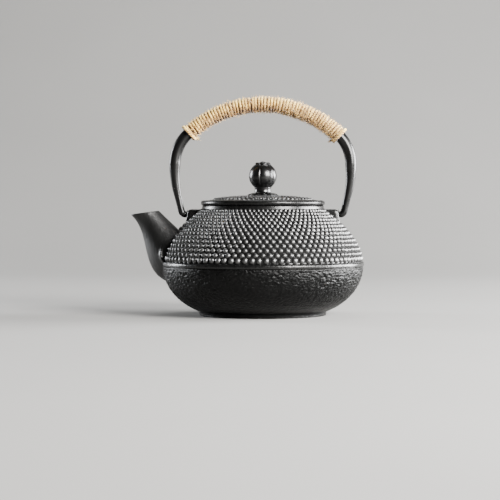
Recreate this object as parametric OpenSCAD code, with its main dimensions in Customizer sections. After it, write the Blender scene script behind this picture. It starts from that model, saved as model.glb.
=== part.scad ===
// Cast iron teapot: hobnail pot with a spout and two lugs, a lid with a turning knob,
// an infuser basket, and a bail handle wound with twine.
// Origin at the centre of the foot, +Z up, spout towards -X. The bail pivots about X.

/* [Pot] */
// Outer radius of the ridge band, the widest part of the pot
band_r = 75; // [74.6:0.1:75.4]
// Height of the pot's widest level above the foot
widest_z = 38; // [37.5:0.1:38.5]
// Radius of the flat foot
foot_r = 47; // [45:0.5:49]
// Outer radius of the neck
neck_r = 45.2; // [44.8:0.1:45.4]
// Height of the neck's top face
neck_top_z = 81; // [80.6:0.1:81.4]
// Radius of the hole through the neck
mouth_r = 38; // [37.6:0.1:38.4]
// Thickness of the cast wall at the shoulder
wall = 3.2; // [2.8:0.1:3.6]

/* [Spout] */
// Distance of the spout's tip from the pot's axis
spout_reach = 97.7; // [96:0.1:99]
// Height of the spout's tip
spout_tip_z = 74.2; // [73:0.1:75]
// Width of the spout at its mouth
spout_mouth_w = 14; // [12:0.5:16]
// Width of the spout where it leaves the pot
spout_root_w = 44; // [40:0.5:46]
// Thickness of the spout's wall
spout_wall = 2.6; // [2.2:0.1:3]
// Radius of the hole from the pot into the spout
port_r = 9; // [8:0.5:10]

/* [Lugs] */
// Height of the bail's pivot axis
pivot_z = 74.6; // [74.4:0.1:74.8]
// Width of each lug
lug_w = 14; // [12:0.5:16]
// Height of the lugs' flat top
lug_top_z = 78.5; // [78.2:0.1:78.8]
// Radius of the bail pin
pin_r = 2.2; // [2:0.05:2.3]
// Radial play of the bail pin in its bore
pin_play = 0.05; // [0.02:0.01:0.08]

/* [Lid] */
// Outer radius of the lid's rolled rim
lid_r = 46; // [45.5:0.1:46.5]
// Height of the lid's flat middle, where the knob stands
lid_top_z = 87.8; // [87.4:0.1:88.2]
// Thickness of the lid
lid_t = 2.8; // [2.5:0.1:3]
// Outer radius of the locating flange under the lid
flange_r = 34.2; // [33.8:0.1:34.4]
// Depth of the flange below the neck's top face
flange_h = 7; // [5:0.5:8]

/* [Knob] */
// Radius of the knob's ball
knob_r = 10.25; // [9.8:0.05:10.6]
// Radius of the knob's short neck
knob_neck_r = 6.3; // [6:0.1:6.6]
// Number of grooves down the knob
knob_grooves = 6; // [4:2:8]
// Number of petals on the knob's seat
seat_petals = 8; // [6:1:10]
// Radius of the stud that holds the knob
stud_r = 2; // [1.8:0.1:2.2]

/* [Bail] */
// Height of the bail's centreline at the top
bail_top_z = 155.8; // [155:0.1:157]
// Diameter of the bail under the twine
bail_d = 8.5; // [8:0.1:9]
// Diameter of the bail where it hooks into the lugs
bail_hook_d = 5; // [4.8:0.1:5.2]
// Outer diameter of the twine wrap
wrap_d = 11.9; // [11.4:0.1:12.4]

/* [Infuser] */
// Outer radius of the mesh wall
infuser_r = 36; // [35.6:0.1:36.4]
// Depth of the basket below its rim
infuser_h = 50; // [40:1:54]
// Thickness of the basket's steel
infuser_t = 0.8; // [0.7:0.1:0.9]

/* [Hidden] */
$fn = 96;

iron = [0.13, 0.13, 0.14];
enamel = [0.05, 0.05, 0.06];
steel = [0.72, 0.72, 0.74];
twine = [0.72, 0.6, 0.42];

// Clearance between castings that meet along a curved face
seam = 0.02;
// How far a cutting body runs on past what it cuts
over = 10;

// Belly below the ridge band: a quarter ellipse about [belly_centre_r, widest_z]
belly_centre_r = 30;
belly_set_in = 0.7;
belly_a = band_r - belly_set_in - belly_centre_r;
belly_b = widest_z;
belly_end_t = -4;
// Shoulder above the band: at height h its radius is a * (1 - (h / reach) ^ shoulder_power)
shoulder_set_in = 1.8;
shoulder_a = band_r - shoulder_set_in;
shoulder_reach = 67.4;
shoulder_power = 1.85;
shoulder_start_h = 2;
// Ridge band: its flat, its reach below the widest level, and its bevel
band_flat = 1;
band_low = 1.8;
band_bevel = 0.3;
foot_edge = 1;
neck_bevel = 0.6;
arc_steps = 14;

// Inside: the same kinds of curve, with a thicker wall at the neck
cavity_a = shoulder_a - wall;
cavity_floor_z = 4;
cavity_reach = 58.5;
cavity_start_h = 4;
// Ledge in the neck that carries the infuser
ledge_r = 42.3;
ledge_depth = 2.6;
ledge_z = neck_top_z - ledge_depth;

// Point at angle t of an ellipse with centre c and half axes a and b
function on_ellipse(c, a, b, t) = [c[0] + a * cos(t), c[1] + b * sin(t)];
// Points from angle t0 to t1
function ellipse_arc(c, a, b, t0, t1, steps) =
    [for (i = [0:steps]) on_ellipse(c, a, b, t0 + (t1 - t0) * i / steps)];
// Points of a shoulder curve from height h0 above the widest level in to radius r_end
function shoulder_arc(a, reach, h0, r_end, steps) = let (
        h1 = reach * pow(1 - r_end / a, 1 / shoulder_power))
    [for (i = [0:steps]) let (h = h0 + (h1 - h0) * i / steps)
        [a * (1 - pow(h / reach, shoulder_power)), widest_z + h]];
// Mixes two values or points
function mix(a, b, t) = a + (b - a) * t;
// Cubic curve through p[0] and p[3], pulled by p[1] and p[2]
function cubic(p, t) = let (u = 1 - t)
    u * u * u * p[0] + 3 * u * u * t * p[1] + 3 * u * t * t * p[2] + t * t * t * p[3];

// Half outline of the pot's outside, from the foot to the neck's top, grown by g
function pot_outline(g) = let (
        a = belly_a + g,
        foot_t = -acos((foot_r + g - belly_centre_r) / a))
    concat(
        [[0, -g], [foot_r - foot_edge, -g], [foot_r + g, foot_edge]],
        ellipse_arc([belly_centre_r, widest_z], a, belly_b, foot_t, belly_end_t, arc_steps),
        [[band_r + g - band_bevel, widest_z - band_low], [band_r + g, widest_z - band_flat],
         [band_r + g, widest_z], [band_r + g - band_bevel, widest_z + band_flat]],
        shoulder_arc(shoulder_a + g, shoulder_reach + g, shoulder_start_h, neck_r + g, arc_steps),
        [[neck_r + g, neck_top_z - neck_bevel], [neck_r + g - neck_bevel, neck_top_z + g]]);

// Half outline of the pot's inside, from the floor's middle up to the neck's top
cavity_outline = concat(
    ellipse_arc([belly_centre_r, widest_z], cavity_a - belly_centre_r,
        widest_z - cavity_floor_z, -90, 0, arc_steps),
    shoulder_arc(cavity_a, cavity_reach, cavity_start_h, mouth_r, arc_steps),
    [[mouth_r, ledge_z], [ledge_r, ledge_z]]);

// Everything inside the pot's outer surface
module pot_envelope(g) {
    rotate_extrude() polygon(concat(pot_outline(g), [[0, neck_top_z + g]]));
}

// Space of both bail pins, from outside each lug to its blind end
bore_r = pin_r + pin_play;
bore_end_x = 48.8;
module pin_bore(side) {
    translate([side * bore_end_x, 0, pivot_z]) rotate([0, side * 90, 0])
        cylinder(h = 2 * over, r = bore_r);
}

// Height of the hole from the pot into the spout
port_z = 45;
module pot_body() {
    color(iron) difference() {
        rotate_extrude() polygon(concat(
            pot_outline(0),
            [[ledge_r, neck_top_z]],
            [for (i = [len(cavity_outline) - 1:-1:0]) cavity_outline[i]],
            [[0, cavity_floor_z]]));
        translate([-band_r - over, 0, port_z]) rotate([0, 90, 0]) cylinder(h = 3 * over, r = port_r);
        pin_bore(-1);
        pin_bore(1);
    }
}

// Spout: sections between a front and a back curve, from inside the pot to the mouth
// Rise of the mouth's back edge above the tip
spout_back_rise = 2.7;
spout_front = [[-66, 23.3], [-93, 29.4], [-81.4, 59.6], [-spout_reach, spout_tip_z]];
spout_back = [[-54, 56], [-62, 63], [-70, 70.5], [-76.6, spout_tip_z + spout_back_rise]];
// How sharply the spout widens at its root
spout_flare = 1.5;
spout_rings = 14;
spout_sides = 28;
// How far the channel runs on past both ends of the spout
channel_over = 0.04;

// Half width of the spout at t along it
function spout_half_w(t) = spout_mouth_w / 2
    + (spout_root_w - spout_mouth_w) / 2 * pow(max(1 - t, 0), spout_flare);
// One section at t, drawn in by inset, as n points
function spout_ring(t, inset, n) = let (
        f = cubic(spout_front, t),
        b = cubic(spout_back, t),
        mid = (f + b) / 2,
        along = (b - f) / norm(b - f),
        half_l = norm(b - f) / 2 - inset,
        half_w = spout_half_w(t) - inset)
    [for (j = [0:n - 1]) let (
            a = 360 * j / n,
            s = half_l * cos(a),
            y = half_w * sin(a))
        [mid[0] + along[0] * s, y, mid[1] + along[1] * s]];
// Triangles over count rings of n points, with a flat cap at each end
function skin_faces(count, n) = concat(
    [[for (j = [0:n - 1]) j]],
    [[for (j = [n - 1:-1:0]) (count - 1) * n + j]],
    [for (i = [0:count - 2], j = [0:n - 1], half = [0:1]) let (
            a = i * n + j,
            b = i * n + (j + 1) % n)
        half == 0 ? [a, a + n, b] : [b, a + n, b + n]]);
module spout_skin(inset, t0, t1, rings, sides) {
    polyhedron(
        [for (i = [0:rings - 1]) each spout_ring(mix(t0, t1, i / (rings - 1)), inset, sides)],
        skin_faces(rings, sides));
}
module spout() {
    color(iron) difference() {
        spout_skin(0, 0, 1, spout_rings, spout_sides);
        spout_skin(spout_wall, -channel_over, 1 + channel_over, spout_rings - 2, spout_sides / 2);
        pot_envelope(seam);
    }
}

// Lug: a slanted block that stands on the shoulder against the neck, bored for the bail pin
lug_inner_x = 40;
lug_face_top_x = 55.6;
lug_face_low_x = 57.4;
lug_low_z = 64;
lug_corner_r = 3;
lug_bevel = 1.2;
lug_over = 1;
module lug_plan() {
    square_l = lug_face_low_x - lug_corner_r;
    translate([0, -lug_w / 2]) square([square_l, lug_w]);
    translate([0, lug_corner_r - lug_w / 2]) square([lug_face_low_x, lug_w - 2 * lug_corner_r]);
    for (s = [-1, 1]) translate([square_l, s * (lug_w / 2 - lug_corner_r)]) circle(r = lug_corner_r);
}
module lug(side) {
    color(iron) difference() {
        mirror([side < 0 ? 1 : 0, 0, 0]) intersection() {
            translate([0, 0, lug_low_z]) linear_extrude(lug_top_z - lug_low_z) lug_plan();
            translate([0, lug_w, 0]) rotate([90, 0, 0]) linear_extrude(2 * lug_w) polygon([
                [lug_inner_x, lug_low_z - lug_over], [lug_face_low_x, lug_low_z - lug_over],
                [lug_face_top_x, lug_top_z - lug_bevel], [lug_face_top_x - lug_bevel, lug_top_z],
                [lug_face_top_x - lug_bevel, lug_top_z + lug_over],
                [lug_inner_x, lug_top_z + lug_over]]);
        }
        pot_envelope(seam);
        pin_bore(side);
    }
}
module lug_spout_side() { lug(-1); }
module lug_far_side() { lug(1); }

// Lid: a shallow dome inside a rolled rim
rim_tube_r = 2;
dome_edge_r = 41;
dome_edge_h = 3.9;
dome_edge_z = neck_top_z + dome_edge_h;
boss_r = 12.4;
// Height of the dome's top surface at radius r
function dome_z(r) = lid_top_z
    - (lid_top_z - dome_edge_z) * pow((r - boss_r) / (dome_edge_r - boss_r), 2);
flange_t = 2.5;
// Steam vent through the dome
vent_x = 27;
vent_r = 1.4;
dome_steps = 6;
module lid() {
    color(iron) difference() {
        rotate_extrude() polygon(concat(
            [[0, lid_top_z - lid_t]],
            [for (i = [0:dome_steps]) let (r = mix(boss_r, flange_r - flange_t, i / dome_steps))
                [r, dome_z(r) - lid_t]],
            [[flange_r - flange_t, neck_top_z - flange_h], [flange_r, neck_top_z - flange_h],
             [flange_r, neck_top_z]],
            ellipse_arc([lid_r - rim_tube_r, neck_top_z + rim_tube_r], rim_tube_r, rim_tube_r,
                -90, 100, 10),
            [for (i = [0:dome_steps]) let (r = mix(dome_edge_r, boss_r, i / dome_steps))
                [r, dome_z(r)]],
            [[0, lid_top_z]]));
        stud_hole(stud_r + seam);
        translate([vent_x, 0, neck_top_z]) cylinder(h = over, r = vent_r);
    }
}

// Hole for the stud, through everything that it holds
module stud_hole(r) {
    translate([0, 0, neck_top_z - over]) cylinder(h = 5 * over, r = r);
}

// Knob seat: a flower-shaped washer
seat_h = 3;
petal_h = 1.7;
petal_r = 3.4;
seat_r = 11.6;
plate_h = 2;
collar_r = 7.2;
// Gap that lets the knob turn between its seat and its finial
turn_gap = 0.05;
knob_low_z = lid_top_z + seat_h + turn_gap;
module knob_seat() {
    color(enamel) difference() {
        union() {
            translate([0, 0, lid_top_z]) cylinder(h = plate_h, r = seat_r - petal_r);
            translate([0, 0, lid_top_z]) cylinder(h = seat_h, r = collar_r);
            for (i = [0:seat_petals - 1]) rotate(360 * (i + 0.5) / seat_petals)
                translate([seat_r - petal_r, 0, lid_top_z]) cylinder(h = petal_h, r = petal_r);
        }
        stud_hole(stud_r + seam);
    }
}

// Knob: a grooved ball on a short neck, free to turn on its stud
knob_ball_h = 15.1;
knob_ball_z = lid_top_z + knob_ball_h;
knob_cap_h = 9.1;
knob_top_z = knob_ball_z + knob_cap_h;
// How far the neck stops short of the ball's centre
neck_drop = 4;
stud_play = 0.06;
groove_depth = 1;
groove_r = 1.5;
groove_turn = -102;
module knob() {
    color(enamel) difference() {
        union() {
            difference() {
                translate([0, 0, knob_ball_z]) sphere(r = knob_r);
                for (i = [0:knob_grooves - 1]) rotate(groove_turn + 360 * i / knob_grooves)
                    translate([knob_r - groove_depth + groove_r, 0, knob_ball_z - knob_r])
                        cylinder(h = 2 * knob_r, r = groove_r);
            }
            translate([0, 0, knob_low_z])
                cylinder(h = knob_ball_z - knob_low_z - neck_drop, r = knob_neck_r);
        }
        translate([0, 0, knob_low_z - over]) cylinder(h = over, r = knob_r);
        translate([0, 0, knob_top_z]) cylinder(h = over, r = knob_r);
        stud_hole(stud_r + stud_play);
    }
}

// Finial: a small blossom that heads the stud
finial_bumps = 5;
finial_turn = -90;
finial_r = 5;
finial_h = 0.8;
bead_r = 2.9;
bead_top_r = 1.6;
bead_h = 1.8;
bump_ring_r = 4.5;
bump_r = 1.6;
bump_h = 1.2;
finial_low_z = knob_top_z + turn_gap;
// Length of the stud's end inside the finial
stud_grip = 0.9;
stud_top_z = finial_low_z + stud_grip;
module knob_finial() {
    color(enamel) difference() {
        union() {
            translate([0, 0, finial_low_z]) cylinder(h = finial_h, r = finial_r);
            translate([0, 0, finial_low_z]) cylinder(h = bead_h, r1 = bead_r, r2 = bead_top_r);
            for (i = [0:finial_bumps - 1]) rotate(finial_turn + 360 * i / finial_bumps)
                translate([bump_ring_r, 0, finial_low_z]) cylinder(h = bump_h, r = bump_r);
        }
        translate([0, 0, stud_top_z - over]) cylinder(h = over, r = stud_r + seam);
    }
}

// Stud, washer and nut that hold the knob to the lid
washer_h = 1;
washer_r = 6;
nut_h = 2.4;
nut_r = 4;
// Length of the stud's end below the nut
stud_end = 0.4;
under_lid_z = lid_top_z - lid_t;
module knob_stud() {
    low_z = under_lid_z - washer_h - nut_h - stud_end;
    color(steel) translate([0, 0, low_z]) cylinder(h = stud_top_z - low_z, r = stud_r);
}
module knob_washer() {
    color(steel) difference() {
        translate([0, 0, under_lid_z - washer_h]) cylinder(h = washer_h, r = washer_r);
        stud_hole(stud_r + seam);
    }
}
module knob_nut() {
    color(steel) difference() {
        translate([0, 0, under_lid_z - washer_h - nut_h]) cylinder(h = nut_h, r = nut_r, $fn = 6);
        stud_hole(stud_r + seam);
    }
}

// Bail: half a centreline in the XZ plane, as arcs joined in line. Each is [radius, heading at
// its end], and the heading turns from level at the top, through straight down, to inwards.
bail_arcs = [[81.5, 42.5], [31, 86], [81.5, 103]];
hook_bend_r = 3.2;
function heading(f) = [sin(f), cos(f)];
bail_c0 = [0, bail_top_z - bail_arcs[0][0]];
bail_c1 = bail_c0 + (bail_arcs[0][0] - bail_arcs[1][0]) * heading(bail_arcs[0][1]);
bail_c2 = bail_c1 + (bail_arcs[1][0] - bail_arcs[2][0]) * heading(bail_arcs[1][1]);
leg_heading = bail_arcs[2][1];
leg_top = bail_c2 + bail_arcs[2][0] * heading(leg_heading);
// The straight leg ends where the hook's bend starts, level with the bend's centre less its drop
leg_low_z = pivot_z + hook_bend_r + hook_bend_r * cos(leg_heading);
leg_low = [leg_top[0] + (leg_top[1] - leg_low_z) * cos(leg_heading) / sin(leg_heading), leg_low_z];
hook_c = leg_low - hook_bend_r * heading(leg_heading);

// Stations [x, z, heading] down one half of the bail
function bail_arc(c, r, f0, f1, steps) =
    [for (i = [1:steps]) let (f = mix(f0, f1, i / steps)) [c[0] + r * sin(f), c[1] + r * cos(f), f]];
// Headings where the twine ends on the spout's side and on the far side
wrap_end_spout = 44;
wrap_end_far = 49;
wrap_spout_side = concat(
    bail_arc(bail_c0, bail_arcs[0][0], 0, bail_arcs[0][1], 10),
    bail_arc(bail_c1, bail_arcs[1][0], bail_arcs[0][1], wrap_end_spout, 1));
wrap_far_side = concat(
    wrap_spout_side,
    bail_arc(bail_c1, bail_arcs[1][0], wrap_end_spout, wrap_end_far, 1));
half_stations = concat(
    wrap_far_side,
    bail_arc(bail_c1, bail_arcs[1][0], wrap_end_far, bail_arcs[1][1], 6),
    bail_arc(bail_c2, bail_arcs[2][0], bail_arcs[1][1], leg_heading, 5),
    [[leg_low[0], leg_low[1], leg_heading]],
    bail_arc(hook_c, hook_bend_r, leg_heading, 180, 5));
// Stations from the spout's side over the top to the far side
function over_top(spout_side, far_side) = concat(
    [for (i = [len(spout_side) - 1:-1:0]) let (s = spout_side[i]) [-s[0], s[1], -s[2]]],
    [[0, bail_top_z, 0]],
    far_side);

// Rod radius by height: full above, thinner towards the hooks
taper_top_z = 112;
taper_low_z = 80;
taper_power = 1.4;
function rod_r(z) = z > taper_top_z ? bail_d / 2
    : z < taper_low_z ? bail_hook_d / 2
    : mix(bail_hook_d, bail_d,
        pow((z - taper_low_z) / (taper_top_z - taper_low_z), taper_power)) / 2;
rod_sides = 16;
// Ring of radius r square to the bail at one station
function rod_ring(s, r) = [for (j = [0:rod_sides - 1]) let (
        a = 360 * j / rod_sides,
        out = r * cos(a))
    [s[0] + out * sin(s[2]), -r * sin(a), s[1] + out * cos(s[2])]];

// Overlap of each pin with its hook, and its gap to the bore's blind end
pin_overlap = 0.5;
pin_end_gap = 0.5;
module bail() {
    stations = over_top(half_stations, half_stations);
    pin_l = hook_c[0] + pin_overlap - bore_end_x - pin_end_gap;
    color(enamel) union() {
        polyhedron([for (s = stations) each rod_ring(s, rod_r(s[1]))],
            skin_faces(len(stations), rod_sides));
        for (side = [-1, 1]) translate([side * (hook_c[0] + pin_overlap), 0, pivot_z])
            rotate([0, -side * 90, 0]) cylinder(h = pin_l, r = pin_r);
    }
}

// Twine wrap: a closed sleeve on the bail, as rings out along one side and back inside
module twine_wrap() {
    stations = over_top(wrap_spout_side, wrap_far_side);
    count = len(stations);
    rings = concat(
        [for (s = stations) rod_ring(s, wrap_d / 2)],
        [for (i = [count - 1:-1:0]) rod_ring(stations[i], bail_d / 2 + seam)]);
    total = len(rings) * rod_sides;
    color(twine) polyhedron([for (ring = rings) each ring],
        [for (i = [0:len(rings) - 1], j = [0:rod_sides - 1], half = [0:1]) let (
                a = i * rod_sides + j,
                b = i * rod_sides + (j + 1) % rod_sides,
                c = (a + rod_sides) % total,
                d = (b + rod_sides) % total)
            half == 0 ? [a, c, b] : [b, c, d]]);
}

// Infuser: a flanged rim on the ledge, a mesh wall and floor, and a hoop that joins them
infuser_low_z = ledge_z - infuser_h;
rim_gap = 0.3;
hoop_h = 4;
hoop_drop = 1.2;
module ring(r_in, r_out, z, h) {
    translate([0, 0, z]) difference() {
        cylinder(h = h, r = r_out);
        translate([0, 0, -over]) cylinder(h = h + 2 * over, r = r_in);
    }
}
module infuser_rim() {
    color(steel) ring(infuser_r - infuser_t, ledge_r - rim_gap, ledge_z, infuser_t);
}
module infuser_wall() {
    color(steel) ring(infuser_r - infuser_t, infuser_r, infuser_low_z, infuser_h);
}
module infuser_floor() {
    color(steel) translate([0, 0, infuser_low_z - infuser_t]) cylinder(h = infuser_t, r = infuser_r);
}
module infuser_band() {
    color(steel) ring(infuser_r + seam, infuser_r + infuser_t, infuser_low_z - hoop_drop, hoop_h);
}

pot_body();
spout();
lug_spout_side();
lug_far_side();
lid();
knob_seat();
knob();
knob_finial();
knob_stud();
knob_washer();
knob_nut();
bail();
twine_wrap();
infuser_rim();
infuser_wall();
infuser_floor();
infuser_band();
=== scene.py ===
# The looks of the cast iron teapot, in metres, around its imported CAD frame.
# +Z is up, the spout points along -X and the bail pivots about X.
import math
import random

import bmesh
import bpy
import numpy as np
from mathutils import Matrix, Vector, noise
from mathutils.bvhtree import BVHTree


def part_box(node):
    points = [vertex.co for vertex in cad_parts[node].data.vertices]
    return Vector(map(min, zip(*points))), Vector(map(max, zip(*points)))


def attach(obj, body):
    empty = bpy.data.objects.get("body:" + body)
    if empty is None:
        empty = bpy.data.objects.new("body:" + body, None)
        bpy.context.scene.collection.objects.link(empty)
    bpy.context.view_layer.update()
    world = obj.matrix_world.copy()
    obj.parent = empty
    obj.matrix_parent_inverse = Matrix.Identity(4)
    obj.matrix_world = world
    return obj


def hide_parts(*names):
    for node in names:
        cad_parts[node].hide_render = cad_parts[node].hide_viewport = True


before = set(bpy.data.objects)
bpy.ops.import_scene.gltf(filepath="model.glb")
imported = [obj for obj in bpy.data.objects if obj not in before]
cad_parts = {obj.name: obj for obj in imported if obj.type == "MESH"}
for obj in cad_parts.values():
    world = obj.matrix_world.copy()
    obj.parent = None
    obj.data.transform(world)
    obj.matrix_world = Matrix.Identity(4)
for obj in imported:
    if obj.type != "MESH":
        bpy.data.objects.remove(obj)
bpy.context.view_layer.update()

MM = 0.001
TAU = 2 * math.pi

# ---------------------------------------------------------------- sizes
_, pot_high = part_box("pot_body")
spout_low, spout_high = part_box("spout")
lid_low, lid_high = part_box("lid")
seat_low, seat_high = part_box("knob_seat")
knob_low, knob_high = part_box("knob")
finial_low, finial_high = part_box("knob_finial")
_, lug_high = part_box("lug_far_side")
wrap_low, wrap_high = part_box("twine_wrap")
rim_low, rim_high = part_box("infuser_rim")
basket_low, basket_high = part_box("infuser_wall")
hoop_low, hoop_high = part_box("infuser_band")
floor_low, floor_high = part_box("infuser_floor")

BAND_R = pot_high.x
NECK_TOP = pot_high.z
NECK_R = 45.2 * MM
WIDEST_Z = 38 * MM
FOOT_R = 47 * MM
BELLY_CENTRE_R = 30 * MM
BELLY_A = BAND_R - 0.7 * MM - BELLY_CENTRE_R
SHOULDER_A = BAND_R - 1.8 * MM
SHOULDER_REACH = 67.4 * MM
SHOULDER_POWER = 1.85
CAVITY_A = SHOULDER_A - 3.2 * MM
CAVITY_REACH = 58.5 * MM
CAVITY_FLOOR = 4 * MM
MOUTH_R = 38 * MM
LEDGE_R = 42.3 * MM
LEDGE_Z = NECK_TOP - 2.6 * MM
PIVOT_Z = 74.6 * MM
PIN_R = 2.2 * MM
PIN_TIP_X = 49.3 * MM
# The sand-cast belly ends at the band's foot, and the hobnails fill the shoulder above it
BAND_FOOT_Z = 36.1 * MM
BAND_TOP_Z = 39.9 * MM
NAILS_LOW_Z = 41 * MM
NAILS_TOP_Z = 77.8 * MM


# ---------------------------------------------------------------- mesh tools
def smoothstep(low, high, value):
    """0 below low, 1 above high, and smooth between."""
    t = np.clip((value - low) / (high - low), 0.0, 1.0)
    return t * t * (3 - 2 * t)


def ring_faces(count, n, loop):
    """Quads that join count rings of n points, and the last ring to the first where loop."""
    faces = []
    for i in range(count if loop else count - 1):
        a, b = i * n, (i + 1) % count * n
        faces += [(a + j, a + (j + 1) % n, b + (j + 1) % n, b + j) for j in range(n)]
    return faces


def skin(rings, loop=False):
    """Points and faces of one closed skin over rings, an array of count x n x 3."""
    count, n = rings.shape[:2]
    faces = ring_faces(count, n, loop)
    if not loop:
        faces.append(tuple(range(n)))
        faces.append(tuple((count - 1) * n + j for j in range(n)))
    return rings.reshape(-1, 3), faces


def revolve(outline, segments):
    """Rings of a closed outline of (r, z) about Z. Where r is 0 the ring closes to a point."""
    outline = np.asarray(outline, float)
    angles = np.arange(segments) * TAU / segments
    rings = np.zeros((len(outline), segments, 3))
    rings[:, :, 0] = outline[:, :1] * np.cos(angles)
    rings[:, :, 1] = outline[:, :1] * np.sin(angles)
    rings[:, :, 2] = outline[:, 1:]
    return rings


def turned(outline, segments):
    """Points and faces of a body turned about Z, where outline starts and ends on the axis."""
    points, faces = skin(revolve(outline, segments))
    return points, faces[:-2]


def build(name, points, faces, material, weld=1e-7):
    """A mesh object with outward normals, where points closer than weld are one."""
    mesh = bpy.data.meshes.new(name)
    mesh.from_pydata([tuple(p) for p in points], [], faces)
    bm = bmesh.new()
    bm.from_mesh(mesh)
    if weld:
        bmesh.ops.remove_doubles(bm, verts=bm.verts, dist=weld)
        bmesh.ops.dissolve_degenerate(bm, edges=bm.edges, dist=weld)
    bmesh.ops.recalc_face_normals(bm, faces=bm.faces)
    bm.to_mesh(mesh)
    bm.free()
    mesh.polygons.foreach_set("use_smooth", [True] * len(mesh.polygons))
    mesh.materials.append(material)
    obj = bpy.data.objects.new(name, mesh)
    bpy.context.scene.collection.objects.link(obj)
    return obj


def place(obj, body, slot, *nodes):
    """Rides obj on its body and lets it stand for the CAD nodes, which it hides; slot is not used.
    """
    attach(obj, body)
    if nodes:
        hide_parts(*nodes)
    return obj


def ellipse_arc(centre, a, b, start, end, steps):
    """Points (r, z) on an ellipse from angle start to end in degrees."""
    t = np.radians(np.linspace(start, end, steps + 1))
    return np.stack([centre[0] + a * np.cos(t), centre[1] + b * np.sin(t)], axis=1)


def line(start, end, steps):
    """Points (r, z) from start to end."""
    t = np.linspace(0, 1, steps + 1)[:, None]
    return np.asarray(start) * (1 - t) + np.asarray(end) * t


def shell_radius(z):
    """Outer radius of the pot's wall at height z, without its band and hobnails."""
    z = np.asarray(z, float)
    low = np.clip((WIDEST_Z - z) / WIDEST_Z, 0, 1)
    high = np.clip((z - WIDEST_Z) / SHOULDER_REACH, 0, 1)
    belly = BELLY_CENTRE_R + BELLY_A * np.sqrt(1 - low ** 2)
    return np.where(z < WIDEST_Z, belly, SHOULDER_A * (1 - high ** SHOULDER_POWER))


def shoulder_height(r):
    """Height of the shoulder's surface at radius r."""
    return WIDEST_Z + SHOULDER_REACH * np.maximum(1 - r / SHOULDER_A, 0) ** (1 / SHOULDER_POWER)


def shoulder_arc(a, reach, start, end, steps):
    """Points (r, z) of a shoulder curve between two heights above the pot's widest level."""
    h = np.linspace(start, end, steps + 1)
    return np.column_stack([a * (1 - (h / reach) ** SHOULDER_POWER), WIDEST_Z + h])


# ---------------------------------------------------------------- materials
class Coat:
    """A node material in the making, with its Principled shader."""

    def __init__(self, name):
        self.material = bpy.data.materials.new(name)
        self.material.use_nodes = True
        self.tree = self.material.node_tree

    def feed(self, node, inputs):
        """Sets each input of a node to a constant, or links it to another node's output."""
        for name, value in inputs.items():
            if isinstance(value, bpy.types.NodeSocket):
                self.tree.links.new(value, node.inputs[name])
            else:
                node.inputs[name].default_value = value

    def node(self, kind, inputs, output, **settings):
        """Adds a node and returns one of its outputs."""
        node = self.tree.nodes.new("ShaderNode" + kind)
        for name, value in settings.items():
            setattr(node, name, value)
        self.feed(node, inputs)
        return node.outputs[output]

    def noise(self, scale, detail, rough, vector=None):
        """A noise texture in the object's own metres, or on the given vector."""
        if vector is None:
            vector = self.node("TexCoord", {}, "Object")
        return self.node("TexNoise", {"Scale": scale, "Detail": detail, "Roughness": rough,
                                      "Vector": vector}, "Fac")

    def ramp(self, source, *stops):
        """A colour ramp over source. stops are (place, grey or colour)."""
        ramp = self.tree.nodes.new("ShaderNodeValToRGB")
        elements = ramp.color_ramp.elements
        while len(elements) < len(stops):
            elements.new(0.5)
        for element, (at, value) in zip(elements, stops):
            element.position = at
            colour = (value,) * 3 if isinstance(value, (int, float)) else value
            element.color = (*colour, 1.0)
        self.feed(ramp, {"Fac": source})
        return ramp.outputs["Color"]

    def span(self, source, low, high, start=0.0, stop=1.0):
        """Maps source from start..stop to low..high."""
        return self.node("MapRange", {"Value": source, "From Min": start, "From Max": stop,
                                      "To Min": low, "To Max": high}, "Result")

    def bump(self, height, strength, distance, **before):
        """A bump from a height, on top of another bump's Normal where one is given."""
        return self.node("Bump", {"Height": height, "Strength": strength, "Distance": distance,
                                  **before}, "Normal")

    def finish(self, inputs):
        """Feeds the shader and returns the material."""
        self.feed(self.tree.nodes["Principled BSDF"], inputs)
        return self.material


def iron_material(name, dark, light, rough_low, rough_high, grain, gloss, worn=0.0, stretch=1.0):
    """Satin black coating on cast iron: mottled, with a fine sand-cast grain.
    worn is how much brighter the points marked by the attribute "tip" are, and a stretch
    below 1 draws the grain out along Z."""
    coat = Coat(name)
    vector = coat.node("Mapping", {"Vector": coat.node("TexCoord", {}, "Object"),
                                   "Scale": (1.0, 1.0, stretch)}, "Vector")
    mottle = coat.noise(140, 6, 0.65, vector)
    fine = coat.noise(2400, 3, 0.6, vector)
    patches = coat.noise(760, 5, 0.6, vector)
    colour = coat.ramp(mottle, (0.32, dark), (0.72, light))
    if worn:
        tip = coat.node("Attribute", {}, "Fac", attribute_name="tip")
        edge = coat.node("Math", {0: tip, 1: patches}, "Value", operation="MULTIPLY")
        colour = coat.node("Mix", {"Factor": edge, "A": colour,
                                   "B": (worn, worn, worn * 1.02, 1)}, "Result", data_type="RGBA")
    pits = coat.bump(fine, 0.35 * grain, 0.12 * MM)
    swell = coat.bump(patches, 0.5 * grain, 0.25 * MM, Normal=pits)
    return coat.finish({"Base Color": colour, "Specular IOR Level": gloss, "Normal": swell,
                        "Roughness": coat.span(patches, rough_low, rough_high)})


def enamel_material(name, rough_low, rough_high, peel, gloss):
    """Glossy black enamel, with faint smudges and orange peel."""
    coat = Coat(name)
    smudge = coat.noise(90, 5, 0.6)
    return coat.finish({"Base Color": coat.ramp(smudge, (0.3, 0.001), (0.8, 0.004)),
                        "Roughness": coat.span(smudge, rough_low, rough_high),
                        "Specular IOR Level": gloss,
                        "Normal": coat.bump(coat.noise(650, 2, 0.5), peel, 0.2 * MM)})


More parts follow.
